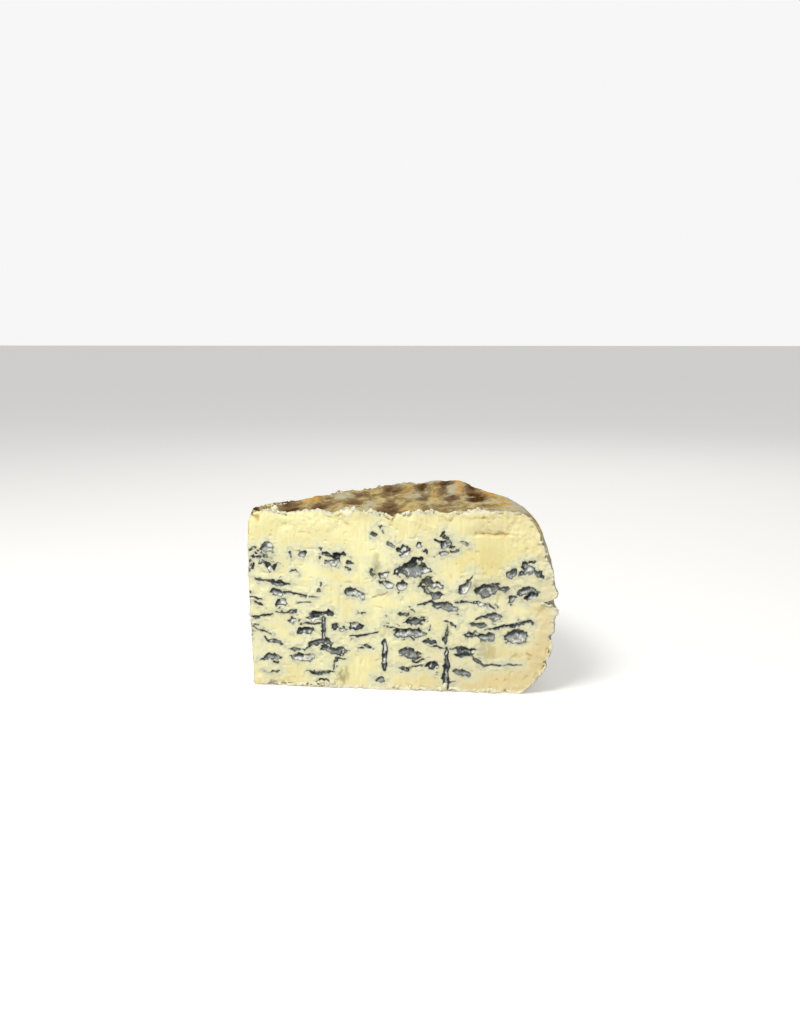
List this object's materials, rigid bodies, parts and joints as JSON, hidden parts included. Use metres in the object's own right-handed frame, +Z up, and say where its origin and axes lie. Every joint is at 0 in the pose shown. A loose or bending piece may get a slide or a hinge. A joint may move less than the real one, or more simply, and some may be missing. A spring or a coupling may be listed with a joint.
{
  "type": "blue cheese wedge",
  "caption": "Wedge cut from a round blue cheese: cream paste with mould-lined eyes and needle channels on both cuts, under a mottled natural rind.",
  "frame": {"origin": "middle of the base of the bounding box, on the surface the wedge stands on", "axes": "+X along the front cut from the wedge's point to the rim, +Z up, the front cut faces -Y"},
  "size_m": [0.1451, 0.1234, 0.0882],
  "materials": {
    "paste": "soft, slightly moist",
    "rind": "dry, mottled"
  },
  "bodies": {
    "root": {"cheese_wedge": "paste"}
  },
  "joints": []
}
